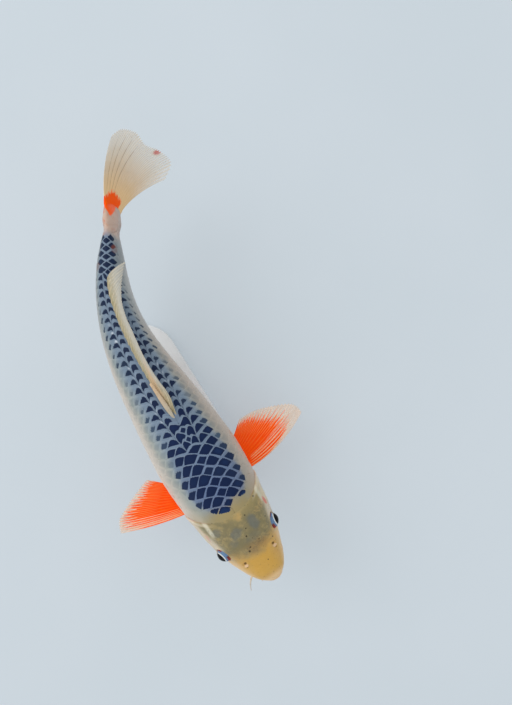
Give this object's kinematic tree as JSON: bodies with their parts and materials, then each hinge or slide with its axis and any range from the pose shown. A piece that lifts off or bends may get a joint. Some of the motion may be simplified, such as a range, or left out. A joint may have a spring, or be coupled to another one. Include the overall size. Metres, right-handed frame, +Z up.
{
  "type": "koi carp model",
  "caption": "Life-size model of a swimming koi carp with spread side fins and a bent tail, held over a flat display base by short upright rods.",
  "frame": {"origin": "middle of the model's footprint, at the underside of the stand's base", "axes": "+Z up; the fish swims towards -Y, turned towards +X, and its tail is towards +Y"},
  "size_m": [0.1442, 0.302, 0.1212],
  "materials": {
    "head_skin": "wet skin, ochre nose and olive grey crown",
    "back_scales": "wet scales, navy centres with pale blue net",
    "tail_skin": "wet scales, blue grey to pinkish white",
    "orange_fin": "thin rayed fin, orange root and clear cream edge",
    "cream_fin": "thin rayed fin, cream",
    "eye_dark": "glossy black pupil in a narrow iris",
    "stand_white": "satin white",
    "stand_steel": "satin steel"
  },
  "bodies": {
    "root": {"anal_fin": "orange_fin", "barbel_front_left": "cream_fin", "barbel_front_right": "cream_fin", "barbel_rear_left": "cream_fin", "barbel_rear_right": "cream_fin", "caudal_fin": "cream_fin", "dorsal_fin": "cream_fin", "dorsal_spine": "cream_fin", "eye_left": "eye_dark", "eye_right": "eye_dark", "gill_cover_left": "head_skin", "gill_cover_right": "head_skin", "head": "head_skin", "pectoral_fin_left": "orange_fin", "pectoral_fin_right": "orange_fin", "pelvic_fin_left": "orange_fin", "pelvic_fin_right": "orange_fin", "stand_base": "stand_white", "stand_rod_front": "stand_steel", "stand_rod_rear": "stand_steel", "tail_stem": "tail_skin", "trunk": "back_scales"}
  },
  "joints": []
}
